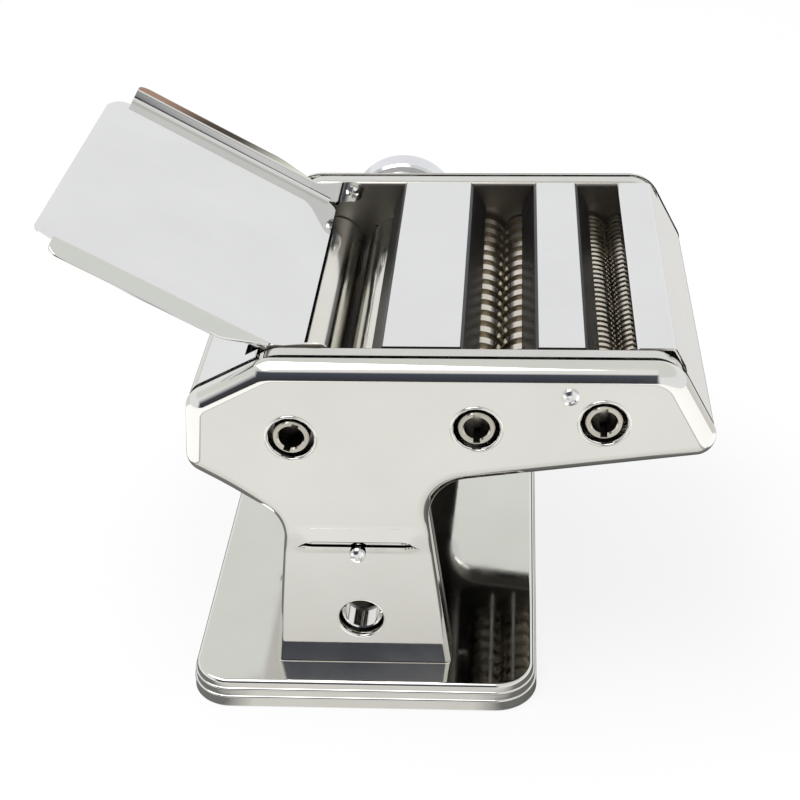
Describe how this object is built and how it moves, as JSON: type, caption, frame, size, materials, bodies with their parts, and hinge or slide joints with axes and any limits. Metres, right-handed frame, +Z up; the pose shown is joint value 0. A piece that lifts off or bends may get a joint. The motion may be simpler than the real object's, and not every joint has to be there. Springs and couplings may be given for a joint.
{
  "type": "pasta roller machine",
  "caption": "Hand pasta machine: smooth sheeting rollers with gap knob, wide and narrow cutter roller pairs, folding feed tray, pressed side panels on a base plate.",
  "frame": {"origin": "centre of the base plate on the table", "axes": "+Z up; +X from the feed tray towards the cutters; +Y along the rollers from the drive side, where the crank goes, to the knob side"},
  "size_m": [0.2535, 0.2257, 0.1963],
  "materials": {
    "polished_sheet": "polished",
    "frame_sheet": "satin",
    "roller_metal": "fine turned",
    "cutter_metal": "fine turned",
    "gear_steel": "hardened",
    "screw_steel": "polished",
    "bearing_brass": "plain",
    "knob_finish": "polished",
    "foot_rubber": "matt"
  },
  "bodies": {
    "body": {"base_plate": "polished_sheet", "drive_side_panel": "polished_sheet", "knob_side_panel": "polished_sheet", "left_cover": "polished_sheet", "wide_cover": "polished_sheet", "narrow_cover": "polished_sheet", "right_cover": "polished_sheet", "drive_side_frame": "frame_sheet", "knob_side_frame": "frame_sheet", "leg_brackets": "frame_sheet", "scraper_fixed": "frame_sheet", "fettuccine_comb_left": "frame_sheet", "fettuccine_comb_right": "frame_sheet", "tagliolini_comb_left": "frame_sheet", "tagliolini_comb_right": "frame_sheet", "rubber_feet": "foot_rubber", "base_screws": "screw_steel", "panel_screws": "screw_steel", "tray_screws": "screw_steel", "tie_rod_nuts": "screw_steel", "tie_rods": "screw_steel", "panel_spacers": "screw_steel", "clamp_bush": "screw_steel", "index_pin": "gear_steel", "near_bushes": "bearing_brass", "far_bushes": "bearing_brass", "spindle_bush": "bearing_brass"},
    "tray": {"feed_tray": "polished_sheet"},
    "smooth_drive": {"smooth_roller_driven": "roller_metal", "smooth_drive_gear": "gear_steel", "smooth_drive_socket": "gear_steel"},
    "carriage": {"bearing_block_near": "bearing_brass", "bearing_block_far": "bearing_brass", "carriage_bar": "frame_sheet", "scraper_moving": "frame_sheet"},
    "smooth_follower": {"smooth_roller_movable": "roller_metal", "smooth_follower_gear": "gear_steel"},
    "regulator": {"knob_spindle": "gear_steel", "knob_washer": "screw_steel", "knob_screw": "screw_steel", "knob_spring": "gear_steel"},
    "knob": {"thickness_knob": "knob_finish", "knob_cap": "knob_finish"},
    "fettuccine_drive": {"fettuccine_roller_driven": "cutter_metal", "fettuccine_drive_gear": "gear_steel", "fettuccine_socket": "gear_steel"},
    "fettuccine_follower": {"fettuccine_roller_follower": "cutter_metal", "fettuccine_follower_gear": "gear_steel"},
    "tagliolini_drive": {"tagliolini_roller_driven": "cutter_metal", "tagliolini_drive_gear": "gear_steel", "tagliolini_socket": "gear_steel"},
    "tagliolini_follower": {"tagliolini_roller_follower": "cutter_metal", "tagliolini_follower_gear": "gear_steel"}
  },
  "joints": [
    {"name": "tray_fold", "type": "hinge", "parent": "body", "child": "tray", "pos_m": [-0.0135, 0, 0.148], "axis": [0, 1, 0], "range_deg": [0, 150]},
    {"name": "smooth_crank", "type": "hinge", "parent": "body", "child": "smooth_drive", "pos_m": [-0.0229, 0, 0.1212], "axis": [0, 1, 0], "continuous": true},
    {"name": "regulator_turn", "type": "hinge", "parent": "body", "child": "regulator", "pos_m": [0.0068, 0, 0.1212], "axis": [0, 1, 0], "range_deg": [0, 180]},
    {"name": "carriage_slide", "type": "slide", "parent": "body", "child": "carriage", "axis": [-1, 0, 0], "range_m": [0, 0.0022]},
    {"name": "smooth_follow", "type": "hinge", "parent": "carriage", "child": "smooth_follower", "pos_m": [0.0079, 0, 0.1212], "axis": [0, 1, 0], "continuous": true},
    {"name": "knob_pull", "type": "slide", "parent": "regulator", "child": "knob", "axis": [0, 1, 0], "range_m": [0, 0.004], "stiffness_N_per_m": 600, "springref_m": -0.003, "deforming": ["knob_spring"]},
    {"name": "fettuccine_crank", "type": "hinge", "parent": "body", "child": "fettuccine_drive", "pos_m": [0.0469, 0, 0.126], "axis": [0, 1, 0], "continuous": true},
    {"name": "fettuccine_follow", "type": "hinge", "parent": "body", "child": "fettuccine_follower", "pos_m": [0.0644, 0, 0.126], "axis": [0, 1, 0], "continuous": true},
    {"name": "tagliolini_crank", "type": "hinge", "parent": "body", "child": "tagliolini_drive", "pos_m": [0.0941, 0, 0.1291], "axis": [0, 1, 0], "continuous": true},
    {"name": "tagliolini_follow", "type": "hinge", "parent": "body", "child": "tagliolini_follower", "pos_m": [0.1085, 0, 0.1291], "axis": [0, 1, 0], "continuous": true}
  ],
  "couplings": [
    {"joint": "smooth_follow", "follows": "smooth_crank", "ratio": -1},
    {"joint": "fettuccine_follow", "follows": "fettuccine_crank", "ratio": -1},
    {"joint": "tagliolini_follow", "follows": "tagliolini_crank", "ratio": -1},
    {"joint": "carriage_slide", "follows": "regulator_turn", "m_per_rad": 0.00070028}
  ]
}
